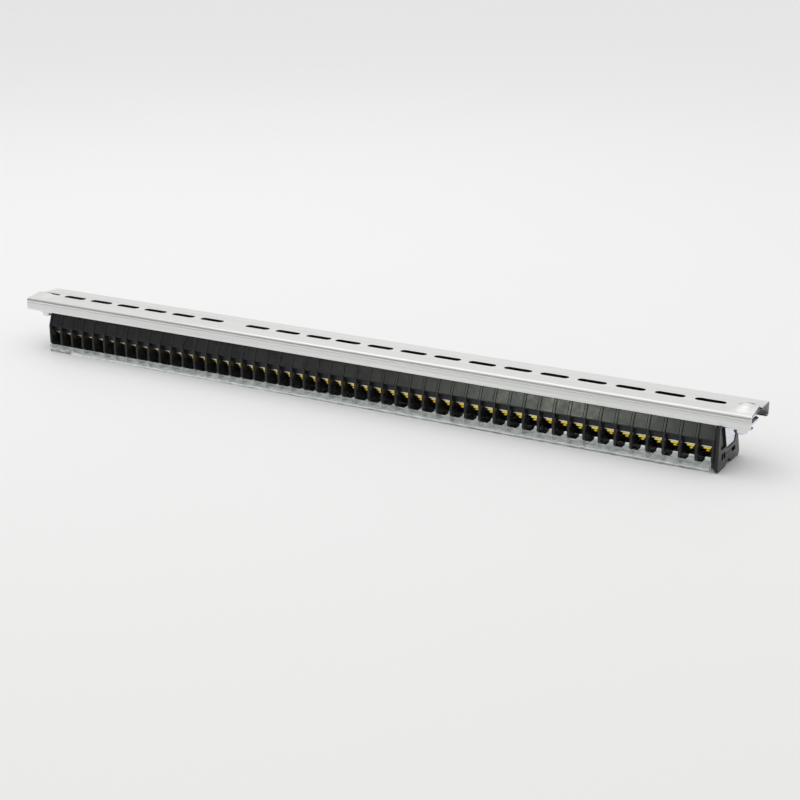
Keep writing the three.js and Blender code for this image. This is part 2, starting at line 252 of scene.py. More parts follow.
def boolean(base, other, operation):
    """base joined with, or cut by, other; both are bmeshes in millimetres and both are used up."""
    target = temporary(base)
    tool = temporary(other)
    modifier = target.modifiers.new("boolean", "BOOLEAN")
    modifier.operation = operation
    modifier.solver = "EXACT"
    modifier.object = tool
    result = evaluated(target)
    mesh = tool.data
    bpy.data.objects.remove(tool)
    bpy.data.meshes.remove(mesh)
    bmesh.ops.remove_doubles(result, verts=result.verts, dist=MERGE_DISTANCE)
    return result


def union(base, *others):
    for other in others:
        base = boolean(base, other, "UNION")
    return base


def cut(base, *others):
    for other in others:
        base = boolean(base, other, "DIFFERENCE")
    return base


def bevelled(bm, width, segments=2, angle_deg=40.0):
    target = temporary(bm)
    modifier = target.modifiers.new("bevel", "BEVEL")
    modifier.width = width
    modifier.segments = segments
    modifier.limit_method = "ANGLE"
    modifier.angle_limit = math.radians(angle_deg)
    modifier.miter_outer = "MITER_ARC"
    return evaluated(target)


def arc(centre, radius, start_deg, end_deg, steps):
    points = []
    for i in range(steps + 1):
        angle = math.radians(start_deg + (end_deg - start_deg) * i / steps)
        points.append((centre[0] + radius * math.cos(angle), centre[1] + radius * math.sin(angle)))
    return points


def rounded_rectangle(x0, x1, y0, y1, radius, steps=4):
    return (
        arc((x1 - radius, y0 + radius), radius, -90, 0, steps)
        + arc((x1 - radius, y1 - radius), radius, 0, 90, steps)
        + arc((x0 + radius, y1 - radius), radius, 90, 180, steps)
        + arc((x0 + radius, y0 + radius), radius, 180, 270, steps)
    )


def mirrored(half):
    """The whole outline, given its -Y half."""
    return half + [(-y, z) for y, z in reversed(half)]


def smoothed(points, radius, steps=3):
    """The closed outline with every corner replaced by a short curve that starts radius before it."""
    out = []
    count = len(points)
    for i, corner in enumerate(points):
        corner = Vector(corner)
        before = Vector(points[i - 1]) - corner
        after = Vector(points[(i + 1) % count]) - corner
        reach = min(radius, before.length * LONGEST_ROUNDING, after.length * LONGEST_ROUNDING)
        start = corner + before.normalized() * reach
        end = corner + after.normalized() * reach
        for k in range(steps + 1):
            t = k / steps
            point = start * (1 - t) ** 2 + corner * 2 * t * (1 - t) + end * t ** 2
            out.append((point.x, point.y))
    return out


def screw_hole(radius, low, high, x=0.0, y=0.0, segments=24):
    """A cutter for a round hole through (x, y)."""
    return turned([(0, low), (radius, low), (radius, high), (0, high)], segments, x, y)


def smoothstep(low, high, value):
    """0 at low and 1 at high, with a smooth rise or fall between; low may be above high."""
    t = min(max((value - low) / (high - low), 0.0), 1.0)
    return t * t * (3 - 2 * t)


# ---- materials ----
# How strongly the clear cover's painted glow shines in its middle and at its edges.
PAINTED_GLOW_MIDDLE = 0.32
PAINTED_GLOW_EDGE = 0.19
COPY_CELL = 1000.0


class Graph:
    """A material's node tree with short calls for adding and joining nodes."""

    def __init__(self, name):
        self.material = bpy.data.materials.new(name)
        self.material.use_nodes = True
        self.tree = self.material.node_tree
        self.tree.nodes.clear()
        self.output = self.tree.nodes.new("ShaderNodeOutputMaterial")

    def node(self, kind, settings=None, **inputs):
        node = self.tree.nodes.new(kind)
        for key, value in (settings or {}).items():
            setattr(node, key, value)
        for key, value in inputs.items():
            self.put(node, key.replace("_", " "), value)
        return node

    def put(self, node, key, value):
        socket = node.inputs[key]
        if isinstance(value, bpy.types.NodeSocket):
            self.tree.links.new(value, socket)
        else:
            socket.default_value = value

    def math(self, operation, a, b=0.0):
        node = self.tree.nodes.new("ShaderNodeMath")
        node.operation = operation
        self.put(node, 0, a)
        self.put(node, 1, b)
        return node.outputs[0]

    def ramp(self, factor, low, high, low_value, high_value):
        node = self.node("ShaderNodeMapRange", {"clamp": True})
        self.put(node, "Value", factor)
        limits = {"From Min": low, "From Max": high, "To Min": low_value, "To Max": high_value}
        for key, value in limits.items():
            node.inputs[key].default_value = value
        return node.outputs["Result"]

    def mix(self, factor, a, b):
        node = self.node("ShaderNodeMix", {"data_type": "RGBA"})
        self.put(node, 0, factor)
        self.put(node, 6, a)
        self.put(node, 7, b)
        return node.outputs[2]

    def noise(self, vector, scale, detail=3.0, roughness=0.5):
        node = self.node("ShaderNodeTexNoise", Scale=scale, Detail=detail, Roughness=roughness)
        self.put(node, "Vector", vector)
        return node.outputs[0]

    def stretched(self, vector, scale):
        node = self.node("ShaderNodeMapping")
        node.inputs["Scale"].default_value = scale
        self.put(node, "Vector", vector)
        return node.outputs[0]

    def coordinates(self):
        """Object coordinates shifted by where the object stands, so that copies don't look alike."""
        here = self.node("ShaderNodeTexCoord").outputs["Object"]
        place = self.node("ShaderNodeObjectInfo").outputs["Location"]
        node = self.node("ShaderNodeVectorMath", {"operation": "ADD"})
        self.put(node, 0, here)
        self.put(node, 1, place)
        return node.outputs[0]

    def per_copy(self):
        """A number from 0 to 1 that differs between copies of a mesh."""
        place = self.node("ShaderNodeObjectInfo").outputs["Location"]
        node = self.node("ShaderNodeTexWhiteNoise", {"noise_dimensions": "3D"})
        scaled = self.stretched(place, (COPY_CELL, COPY_CELL, COPY_CELL))
        rounded = self.node("ShaderNodeVectorMath", {"operation": "FLOOR"})
        self.put(rounded, 0, scaled)
        self.put(node, "Vector", rounded.outputs[0])
        return node.outputs["Value"]

    def bump(self, height, strength, distance):
        node = self.node("ShaderNodeBump", Strength=strength, Distance=distance)
        self.put(node, "Height", height)
        return node.outputs[0]

    def principled(self, **inputs):
        shader = self.node("ShaderNodeBsdfPrincipled", **inputs)
        self.tree.links.new(shader.outputs[0], self.output.inputs["Surface"])
        return shader


def across_rail(g):
    """How far a point lies from the middle plane of the strip, in metres."""
    parts = g.node("ShaderNodeSeparateXYZ")
    g.put(parts, "Vector", g.node("ShaderNodeTexCoord").outputs["Object"])
    return g.math("ABSOLUTE", parts.outputs["Y"])


def inside_of_rail(g):
    """Near 1 on the slots' walls and the inner faces of the rail, and 0 on its outside: where shade is
    painted inside the rail.
    """
    across = across_rail(g)
    between = g.ramp(across, (RAIL_HALF - 1.9) * MM, (RAIL_HALF - 1.5) * MM, 1.0, 0.25)
    within = g.ramp(across, (RAIL_HALF - 0.9) * MM, (RAIL_HALF - 0.6) * MM, 1.0, 0.0)
    facing = g.node("ShaderNodeSeparateXYZ")
    g.put(facing, "Vector", g.node("ShaderNodeTexCoord").outputs["Normal"])
    not_up = g.ramp(facing.outputs["Z"], 0.5, 0.8, 1.0, 0.0)
    return g.math("MULTIPLY", g.math("MULTIPLY", between, within), not_up)


def aluminium():
    """Extruded aluminium: fine lines along the rail spread its reflections across it, and its inside is
    painted dark as shade.
    """
    g = Graph("aluminium")
    clean_dark = (0.87, 0.88, 0.855, 1)
    clean_light = (0.93, 0.935, 0.92, 1)
    line_colour = (0.66, 0.67, 0.64, 1)
    band_colour = (0.60, 0.61, 0.57, 1)
    painted_inside_shade = (0.09, 0.09, 0.09, 1)
    here = g.coordinates()
    lines = g.noise(g.stretched(here, (3.0, 900.0, 900.0)), 1.0, 4.0, 0.65)
    bands = g.noise(g.stretched(here, (1.5, 260.0, 260.0)), 1.0, 2.0, 0.5)
    clouds = g.noise(here, 28.0, 4.0)
    specks = g.noise(here, 700.0, 2.0)
    color = g.mix(clouds, clean_dark, clean_light)
    color = g.mix(g.ramp(lines, 0.35, 0.75, 0.0, 0.35), color, line_colour)
    color = g.mix(g.ramp(bands, 0.40, 0.70, 0.0, 0.25), color, band_colour)
    # Painted shade: the rail's inner faces and slot walls are darkened to near black.
    color = g.mix(inside_of_rail(g), color, painted_inside_shade)
    rough = g.math("ADD", g.ramp(lines, 0.3, 0.7, 0.27, 0.38), g.ramp(specks, 0.62, 0.8, 0.0, 0.12))
    height = g.math("ADD", lines, g.math("MULTIPLY", specks, 0.2))
    around = g.node("ShaderNodeTangent", {"direction_type": "RADIAL", "axis": "X"})
    g.principled(
        Base_Color=color, Metallic=0.92, Roughness=rough, Anisotropic=0.6, Tangent=around.outputs[0],
        Normal=g.bump(height, 0.3, 0.00006),
    )
    return g.material


def black_plastic():
    """Moulded black plastic, faintly mottled and smeared, each moulding a little different."""
    g = Graph("black_plastic")
    darkest = (0.014, 0.0143, 0.0152, 1)
    lightest = (0.021, 0.0215, 0.0228, 1)
    faded = (0.022, 0.0228, 0.0220, 1)
    here = g.coordinates()
    copy = g.per_copy()
    mottle = g.noise(here, 160.0, 4.0, 0.6)
    smears = g.noise(g.stretched(here, (130.0, 60.0, 160.0)), 1.0, 4.0, 0.65)
    grain = g.noise(here, 2600.0, 2.0)
    color = g.mix(mottle, darkest, lightest)
    color = g.mix(g.math("MULTIPLY", copy, 0.4), color, faded)
    rough = g.math("ADD", g.ramp(smears, 0.35, 0.65, 0.20, 0.31), g.math("MULTIPLY", copy, 0.05))
    height = g.math("ADD", g.math("MULTIPLY", smears, 3.0), grain)
    g.principled(
        Base_Color=color, Roughness=rough, Specular_IOR_Level=0.25,
        Normal=g.bump(height, 0.3, 0.00004),
    )
    return g.material


def plated(name, bright, dull, rough_low, rough_high):
    """A plated metal that clouds between two tints, each copy a little different."""
    g = Graph(name)
    here = g.coordinates()
    copy = g.per_copy()
    clouds = g.noise(here, 420.0, 3.0)
    grain = g.noise(here, 3200.0, 2.0)
    blend = g.math("ADD", g.ramp(clouds, 0.3, 0.7, 0.0, 0.45), g.math("MULTIPLY", copy, 0.55))
    g.principled(
        Base_Color=g.mix(blend, bright, dull), Metallic=1.0,
        Roughness=g.ramp(clouds, 0.3, 0.7, rough_low, rough_high),
        Normal=g.bump(grain, 0.08, 0.00002),
    )
    return g.material


def clear_plastic():
    """Clear extruded plastic with a painted glow: it emits light, most of all in the middle, which
    mirror-like reflections don't see.
    """
    g = Graph("clear_plastic")
    body_colour = (0.93, 0.955, 0.945, 1)
    rim_colour = (0.79, 0.82, 0.805, 1)
    passed_colour = (0.90, 0.92, 0.91, 1)
    painted_glow_colour = (0.95, 1.0, 0.97, 1)
    here = g.coordinates()
    drawn = g.noise(g.stretched(here, (4.0, 700.0, 700.0)), 1.0, 3.0)
    painted_glow_streaks = g.noise(g.stretched(here, (160.0, 500.0, 500.0)), 1.0, 3.0, 0.6)
    across = across_rail(g)
    # Painted glow: the cover emits light in streaks, strongest in the middle, in place of light that would
    # reach it.
    painted_glow_across = g.ramp(across, 6 * MM, 13 * MM, PAINTED_GLOW_MIDDLE, PAINTED_GLOW_EDGE)
    path = g.node("ShaderNodeLightPath")
    not_mirrored = g.math("SUBTRACT", 1.0, path.outputs["Is Glossy Ray"])
    painted_glow_seen = g.math("MULTIPLY", painted_glow_across, not_mirrored)
    near_rim = g.ramp(across, 17.5 * MM, 19 * MM, 0.0, 1.0)
    shader = g.principled(
        Base_Color=g.mix(near_rim, body_colour, rim_colour),
        Roughness=g.ramp(drawn, 0.3, 0.7, 0.02, 0.08),
        IOR=1.49, Transmission_Weight=1.0, Normal=g.bump(drawn, 0.15, 0.00005),
        Emission_Color=painted_glow_colour,
        Emission_Strength=g.math("MULTIPLY", painted_glow_seen, g.ramp(painted_glow_streaks, 0.38, 0.62, 0.55, 1.25)),
    )
    passing = g.node("ShaderNodeBsdfTransparent", Color=passed_colour)
    unseen = g.math("MAXIMUM", path.outputs["Is Shadow Ray"], path.outputs["Is Diffuse Ray"])
    blend = g.node("ShaderNodeMixShader")
    g.put(blend, 0, unseen)
    g.put(blend, 1, shader.outputs[0])
    g.put(blend, 2, passing.outputs[0])
    g.tree.links.new(blend.outputs[0], g.output.inputs["Surface"])
    return g.material


def floor_paper():
    """Pale paper with painted shade that greys it towards the front right corner."""
    g = Graph("floor_paper")
    paper_dark = (0.825, 0.825, 0.825, 1)
    paper_light = (0.84, 0.84, 0.84, 1)
    painted_corner_shade = (0.72, 0.725, 0.69, 1)
    here = g.node("ShaderNodeTexCoord").outputs["Object"]
    clouds = g.noise(here, 3.0, 3.0)
    fibre = g.noise(here, 900.0, 2.0)
    parts = g.node("ShaderNodeSeparateXYZ")
    g.put(parts, "Vector", here)
    # Painted shade: the paper darkens towards the front right corner, standing in for light falling off
    # there.
    towards_corner = g.math("SUBTRACT", g.math("MULTIPLY", parts.outputs["X"], 0.7), parts.outputs["Y"])
    near = g.ramp(towards_corner, 0.0, 0.8, 0.0, 1.0)
    paper = g.mix(clouds, paper_dark, paper_light)
    g.principled(
        Base_Color=g.mix(g.math("MULTIPLY", near, 0.5), paper, painted_corner_shade),
        Roughness=0.6, Normal=g.bump(fibre, 0.05, 0.0001),
    )
    return g.material


# ---- rail ----
RAIL_INNER_RADIUS = 0.8
# The flat wall ends in a shallow groove below the rolled corner: each point's depth behind the wall
# and its height.
WALL_AND_GROOVE = ((0.0, 31.0), (0.0, 33.6), (0.1, 34.3), (0.3, 34.45))
WEB_DIVISIONS = (-14.0, -12.0, -10.0, -8.0, -6.0, -4.5, -3.2)
END_DIVISIONS = 20
END_DIVISION = 1.5
MIDDLE_REACH = 240
MIDDLE_DIVISION = 40

# The saw cut through a slot at each end, which left corners of the web free to bend. For each bent corner:
# which end, which long side, and its ramps along the rail as (from, to, rise).
FREE_CORNERS = (
    (1, -1, ((256, 267, 3.2), (268, 274, -0.7))),
    (1, 1, ((257, 267, 1.7), (268, 274, -1.9))),
    (-1, -1, ((256, 268, 1.6),)),
)
CORNER_FOLD = 16.5
CORNER_EDGE = 2.8
CORNER_INSIDE = 2.0
CORNER_START = 250
LOWEST_BENT = 33.5
# Dents in the web beside the last whole slot: centre x and y, reach along x and y, and rise.
WEB_DENTS = ((251.0, -5.0, 2.2, 3.0, 0.28), (256.5, -1.5, 2.4, 3.5, -0.35))


def rail_profile():
    """The rail's section: the outside from the near lip to the far one, then back along the inside."""
    inner = RAIL_HALF - RAIL_WALL
    under = RAIL_TOP - RAIL_WEB
    lip_top = RAIL_BOTTOM + RAIL_WALL
    lip_centre = (-LIP_TIP - RAIL_WALL / 2, (RAIL_BOTTOM + lip_top) / 2)
    near_outer = (
        arc(lip_centre, RAIL_WALL / 2, 0, -90, 3)
        + arc((-RAIL_HALF + RAIL_EDGE, RAIL_BOTTOM + RAIL_EDGE), RAIL_EDGE, 270, 180, 3)
        + [(-RAIL_HALF + depth, z) for depth, z in WALL_AND_GROOVE]
        + arc((-RAIL_HALF + RAIL_RADIUS, RAIL_TOP - RAIL_RADIUS), RAIL_RADIUS, 188, 90, 10)
        + [(y, RAIL_TOP) for y in WEB_DIVISIONS]
    )
    near_inner = (
        arc(lip_centre, RAIL_WALL / 2, 30, 90, 2)
        + arc((-inner + RAIL_EDGE, lip_top + RAIL_EDGE), RAIL_EDGE, 270, 180, 3)
        + arc((-inner + RAIL_INNER_RADIUS, under - RAIL_INNER_RADIUS), RAIL_INNER_RADIUS, 180, 90, 4)
        + [(y, under) for y in WEB_DIVISIONS]
    )
    far_outer = [(-y, z) for y, z in reversed(near_outer)]
    far_inner = [(-y, z) for y, z in near_inner]
    inside = far_inner + [(0.0, under)] + list(reversed(near_inner))
    return near_outer + [(0.0, RAIL_TOP)] + far_outer + inside


def rail_stations():
    """Where the section repeats along the rail, close together at the ends, where it bends."""
    half = RAIL_LENGTH / 2
    ends = [half - END_DIVISION * k for k in range(END_DIVISIONS)]
    middle = [float(x) for x in range(-MIDDLE_REACH, MIDDLE_REACH + 1, MIDDLE_DIVISION)]
    return sorted([-x for x in ends] + ends + middle)


def slot_cutter(centre):
    reach = (SLOT_LENGTH - SLOT_WIDTH) / 2
    radius = SLOT_WIDTH / 2
    outline = arc((centre + reach, 0), radius, -90, 90, 12) + arc((centre - reach, 0), radius, 90, 270, 12)
    return prism(outline, RAIL_TOP - RAIL_WEB - 1, RAIL_TOP + 1, along_z)


def slot_centres():
    return [first + i * SLOT_PITCH for first, count in SLOT_RUNS for i in range(count)]


def bend_rail_ends(bm):
    """Bends the web's free corners at the ends and dents the web beside the last whole slot."""
    for vert in bm.verts:
        x, y, z = vert.co
        if z < LOWEST_BENT:
            continue
        for end, side, ramps in FREE_CORNERS:
            across = side * y
            if end * x > CORNER_START and CORNER_INSIDE < across < CORNER_FOLD:
                lift = sum(rise * smoothstep(start, stop, end * x) for start, stop, rise in ramps)
                vert.co.z += lift * smoothstep(CORNER_FOLD, CORNER_EDGE, across)
        for centre_x, centre_y, reach_x, reach_y, rise in WEB_DENTS:
            distance = ((x - centre_x) / reach_x) ** 2 + ((y - centre_y) / reach_y) ** 2
            vert.co.z += rise * math.exp(-distance)


def make_rail(material):
    bm = bmesh.new()
    loft(bm, rail_profile(), rail_stations(), along_x)
    bmesh.ops.recalc_face_normals(bm, faces=bm.faces)
    cutters = bmesh.new()
    for centre in slot_centres():
        piece = slot_cutter(centre)
        mesh = bpy.data.meshes.new("cutter")
        piece.to_mesh(mesh)
        piece.free()
        cutters.from_mesh(mesh)
        bpy.data.meshes.remove(mesh)
    bm = bevelled(cut(bm, cutters), 0.14, 2, 50.0)
    bend_rail_ends(bm)
    rail = new_object("slotted_rail", bm, material, 40.0)
    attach(rail, "strip")
    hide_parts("rail")


# ---- housings ----
FOOT_HALF = [(-15.4, 33.6), (-15.4, 30.6), (-11.9, 30.6), (-11.9, BODY_TOP)]
DOWEL_SOCKETS = ((-8.5, 24.6), (8.5, 24.6))
DOWEL_RADIUS = 1.6
DOWEL_DEPTH = 0.8


def body_profile():
    """The part between two barriers, its panel set back from their edges by PANEL_RECESS."""
    front = PANEL_RECESS - BODY_HALF
    return smoothed(mirrored(FOOT_HALF + [
        (PANEL_RECESS + PANEL_TOP, BODY_TOP), (front, SLOPE_FOOT), (front, BROW_BOTTOM),
        (SEAT_FRONT, BROW_BOTTOM), (SEAT_FRONT, SEAT),
    ]), 0.3, 2)


def barrier_profile():
    slope = [(PANEL_TOP, BODY_TOP), (-BODY_HALF, SLOPE_FOOT)]
    return smoothed(mirrored(slope + BARRIER_FOOT + COVER_GROOVE), 0.5, 2)


def beam_profile():
    mouth = COVER_GROOVE[0][0]
    foot = [(-BEAM_HALF, BEAM_TOP), (-BEAM_HALF, BEAM_BOTTOM), (mouth, BEAM_BOTTOM)]
    return mirrored(foot + COVER_GROOVE[1:])


def housing_mesh(material):
    """One moulded housing with its left face at x = 0."""
    body = union(prism(body_profile(), 0.0, MODULE_WIDTH), prism(beam_profile(), 0.0, MODULE_WIDTH))
    barrier = bevelled(prism(barrier_profile(), BARRIER_LEFT, BARRIER_RIGHT), 0.42, 3, 60.0)
    bm = union(bevelled(body, 0.14, 2, 38.0), barrier)
    for y in (-SCREW_Y, SCREW_Y):
        bm = cut(bm, screw_hole(SCREW_HOLE, SEAT - 1, SCREW_HOLE_TOP, SCREW_LOCAL_X, y, 20))
    for centre in DOWEL_SOCKETS:
        bm = cut(bm, prism(arc(centre, DOWEL_RADIUS, 0, 345, 23), -1.0, DOWEL_DEPTH))
    return mesh_of(bm, material, 30.0)


def pole_left(pole):
    return BLOCK_LEFT + (pole - 1) * POLE_PITCH


def place(name, mesh, x, y=0.0):
    obj = bpy.data.objects.new(name, mesh)
    obj.location = (x * MM, y * MM, 0.0)
    bpy.context.scene.collection.objects.link(obj)
    return obj


def bank_of(pole):
    first = (pole - 1) // BANK_SIZE * BANK_SIZE + 1
    return f"housings_{first:02d}_to_{first + BANK_SIZE - 1:02d}"


def make_housings(material):
    mesh = housing_mesh(material)
    for pole in range(1, POLES + 1):
        housing = place(f"housing_{pole:02d}", mesh, pole_left(pole))
        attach(housing, "strip")
        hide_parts(f"pole_{pole}_housing" if pole >= FIRST_MOVING_POLE else bank_of(pole))


# ---- contact parts ----
CROSS_ARM = 2.05
CROSS_HALF_WIDTH = 0.46
CROSS_DEPTH = 1.3
DRIVE_SLOT_HALF_WIDTH = 0.42
DRIVE_SLOT_DEPTH = 0.6
HEAD_EDGE = 0.15
RIDGE_TOP = 14.05
RIDGE_HALF_WIDTH = 0.22


def plate(half, heights, corner):
    """A flat plate centred on Z with rounded corners; half is its half sizes along X and Y."""
    return prism(rounded_rectangle(-half[0], half[0], -half[1], half[1], corner), *heights, along_z)


def conductor_mesh(material):
    bm = plate(CONDUCTOR_HALF, CONDUCTOR_Z, 0.8)
    for y in (-SCREW_Y, SCREW_Y):
        bm = cut(bm, screw_hole(SCREW_HOLE, CONDUCTOR_Z[0] - 1, CONDUCTOR_Z[1] + 1, 0.0, y, 20))
    return mesh_of(bevelled(bm, 0.18, 2), material)


def mesh_of(bm, material, sharp_deg=35.0):
    """A finished mesh for several objects to share."""
    obj = new_object("pattern", bm, material, sharp_deg)
    mesh = obj.data
    bpy.data.objects.remove(obj)
    return mesh


def thread_profile(radius, start, end):
    """The outline of the rings that stand for a thread between two heights."""
    points = []
    for i in range(int((end - start) / THREAD_PITCH)):
        z = start + i * THREAD_PITCH
        root = (radius - THREAD_DEPTH, z + THREAD_PITCH * 0.5)
        points += [(radius, z + 0.1), root, (radius, z + THREAD_PITCH - 0.1)]
    return points


def screw_mesh(material, radius, bottom, top, crown, shank_top):
    """A pan-head screw standing on its head, with a cross recess crossed by a straight slot."""
    profile = (
        [(0, bottom)] + arc((radius - crown, bottom + crown), crown, -90, 0, 6)
        + [(radius, top - HEAD_EDGE), (radius - HEAD_EDGE, top), (SHANK_RADIUS, top)]
        + thread_profile(SHANK_RADIUS, top + 0.4, shank_top - 0.6)
        + [(SHANK_RADIUS - 0.5, shank_top), (0, shank_top)]
    )
    bm = turned(profile, 36)
    arm = CROSS_ARM
    half = CROSS_HALF_WIDTH
    for limits in ((-arm, arm, -half, half), (-half, half, -arm, arm)):
        outline = rounded_rectangle(*limits, 0.2, 2)
        bm = cut(bm, prism(outline, bottom - 1, bottom + CROSS_DEPTH, along_z))
    reach = radius + 0.5
    outline = rounded_rectangle(-reach, reach, -DRIVE_SLOT_HALF_WIDTH, DRIVE_SLOT_HALF_WIDTH, 0.1, 1)
    bm = cut(bm, prism(outline, bottom - 1, bottom + DRIVE_SLOT_DEPTH, along_z))
    return mesh_of(bevelled(bm, 0.06, 1, 50.0), material, 38.0)


def washer_mesh(material):
    """A square clamp plate with pressed grip ridges on the side that holds the wire."""
    bm = plate(WASHER_HALF, WASHER_Z, 0.9)
    root = WASHER_Z[1] - 0.15
    half_length = WASHER_HALF[0] - 0.2
    for y in WASHER_RIDGES:
        ridge = [(y - RIDGE_HALF_WIDTH, root), (y + RIDGE_HALF_WIDTH, root), (y, RIDGE_TOP)]
        bm = union(bm, prism(ridge, -half_length, half_length))
    bm = cut(bm, screw_hole(WASHER_HOLE, WASHER_Z[0] - 1, WASHER_Z[1] + 1))
    return mesh_of(bevelled(bm, 0.14, 2), material)


def screw_turn(pole, side):
    """A different angle for each screw, in radians."""
    return math.radians((pole * 47 + (0 if side == "front" else 71)) % 180)


def make_contacts(brass, zinc):
    conductor = conductor_mesh(brass)
    screw = screw_mesh(zinc, radius=3.4, bottom=10.8, top=12.3, crown=0.9, shank_top=22.0)
    washer = washer_mesh(zinc)
    for pole in range(1, POLES + 1):
        x = pole_left(pole) + SCREW_LOCAL_X
        moving = pole >= FIRST_MOVING_POLE
        bar = place(f"conductor_{pole:02d}", conductor, x)
        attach(bar, "strip")
        if moving:
            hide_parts(f"pole_{pole}_conductor")
        for side, y in (("front", -SCREW_Y), ("rear", SCREW_Y)):
            for kind, mesh in (("screw", screw), ("washer", washer)):
                piece = place(f"{kind}_{pole:02d}_{side}", mesh, x, y)
                if kind == "screw":
                    piece.rotation_euler = (0.0, 0.0, screw_turn(pole, side))
                name = f"pole_{pole}_{side}_{kind}"
                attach(piece, name if moving else "strip")
                if moving:
                    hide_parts(name)


# ---- cover ----
COVER_HALF = 20.0
COVER_FLOOR = 2.0
COVER_CORNER = 0.4
COVER_RIM = 0.5
COVER_RIM_TOP = 5.4
# The near one of the two snap legs that hook into the housings' groove.
COVER_LEG = [(-1.7, 5.0), (-2.9, 5.75), (-2.9, 6.1), (-1.6, 6.6), (-0.7, 6.0)]


def cover_profile():
    corner = arc((COVER_CORNER - COVER_HALF, COVER_CORNER), COVER_CORNER, 270, 180, 3)
    rim = arc((COVER_RIM - COVER_HALF, COVER_RIM_TOP), COVER_RIM, 180, 0, 8)
    inside = [(-19.0, COVER_FLOOR + 0.3), (-18.7, COVER_FLOOR), (COVER_LEG[0][0], COVER_FLOOR)]
    return mirrored(corner + rim + inside + COVER_LEG + [(COVER_LEG[-1][0], COVER_FLOOR)])


def make_cover(material):
    bm = prism(cover_profile(), BLOCK_LEFT, BLOCK_RIGHT - 0.4)
    cover = new_object("clear_cover", bm, material, 50.0)
    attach(cover, "cover")
    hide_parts("cover")


# ---- end plate ----
END_FLANGE = [
    (-11.1, 28.6), (-20.0, 28.6), (-20.0, 2.6), (-19.0, 0.9), (-17.4, 0.2), (-5.2, 0.4), (-3.4, 1.6),
    (-2.5, 3.4), (2.5, 3.4), (3.4, 1.2), (5.0, 0.4), (18.4, 0.2), (19.8, 1.2), (20.0, 3.0), (18.6, 7.7),
    (16.2, 13.6), (16.2, 28.6), (12.4, 28.6), (12.4, 18.2), (9.6, 11.4), (-4.1, 11.4),
]
END_WEB = [
    (-12.0, 27.4), (-18.8, 27.4), (-18.8, 3.6), (-17.0, 1.6), (-5.6, 1.6), (-3.6, 4.6), (3.6, 4.6),
    (4.6, 1.9), (17.4, 1.6), (18.6, 3.0), (17.4, 7.4), (15.0, 13.4), (15.0, 27.4), (13.4, 27.4),
    (13.4, 18.0), (10.4, 10.3), (-4.9, 10.3),
]
# Pockets moulded into the outer face, each with its depth.
END_POCKETS = [
    ([(-19.3, 27.8), (-11.3, 27.8), (-5.5, 13.2), (-15.4, 13.2)], 1.2),
    ([(-13.4, 6.4), (-10.4, 6.4), (-10.4, 10.6), (-13.4, 10.6)], 1.4),
    ([(-9.8, 6.4), (-6.0, 6.4), (-7.0, 10.6), (-9.8, 10.6)], 1.4),
    ([(-4.9, 8.0), (3.3, 8.0), (3.3, 8.6), (-4.9, 8.6)], 1.0),
    ([(3.9, 9.3), (11.0, 9.0), (12.0, 6.1), (5.6, 6.1)], 1.4),
]


def make_end_plate(material):
    out = END_PLATE_RIGHT
    wall_right = END_PLATE_LEFT + END_WALL
    flange = bevelled(prism(END_FLANGE, END_GROOVE_RIGHT, out), 0.45, 3, 40.0)
    wall = union(
        prism(barrier_profile(), END_PLATE_LEFT, wall_right),
        prism(mirrored(FOOT_HALF + [(-11.9, 21.0)]), END_PLATE_LEFT, wall_right),
    )
    for outline, depth in END_POCKETS:
        flange = cut(flange, prism(smoothed(outline, 0.3, 2), out - depth, out + 1))
    web = prism(END_WEB, wall_right - 0.2, END_GROOVE_RIGHT + 0.2)
    bm = union(bevelled(wall, 0.16, 2), web, flange)
    moulding = new_object("end_plate_moulding", bm, material, 32.0)
    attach(moulding, "strip")
    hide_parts("end_plate")


# ---- end clamps ----
BEND_RADIUS = 1.6
TAB_CORNER = 2.0
TAB_CUT = (TAB_BOTTOM - 1, TAB_TOP + 1.5)
CUT_BELOW = PLATE_BOTTOM - 1
CUT_ABOVE = TAB_TOP + 1
# What is cut from the upright plate's front and rear sides.
PLATE_FRONT_CUT = [
    (-14.5, CUT_BELOW), (-3.8, CUT_BELOW), (-3.8, PLATE_BOTTOM), (-10.6, TAB_TOP), (-10.6, CUT_ABOVE),
    (-14.5, CUT_ABOVE),
]
PLATE_REAR_CUT = [
    (13.0, CUT_BELOW), (9.2, CUT_BELOW), (9.2, PLATE_BOTTOM), (11.6, 18.4), (11.6, CUT_ABOVE),
    (13.0, CUT_ABOVE),
]


def bracket_profile(origin, direction):
    """The bent sheet seen from the front: the upright plate, the bend and the tab under the rail's lips."""
    radius = BEND_RADIUS
    centre = (SHEET + radius, TAB_BOTTOM - radius)
    outline = (
        [(0.0, PLATE_BOTTOM), (SHEET, PLATE_BOTTOM)] + arc(centre, radius, 180, 90, 8)
        + [(TAB_REACH, TAB_BOTTOM), (TAB_REACH, TAB_TOP)] + arc(centre, radius + SHEET, 90, 180, 10)
    )
    points = [(origin + direction * out, z) for out, z in outline]
    return points if direction > 0 else list(reversed(points))


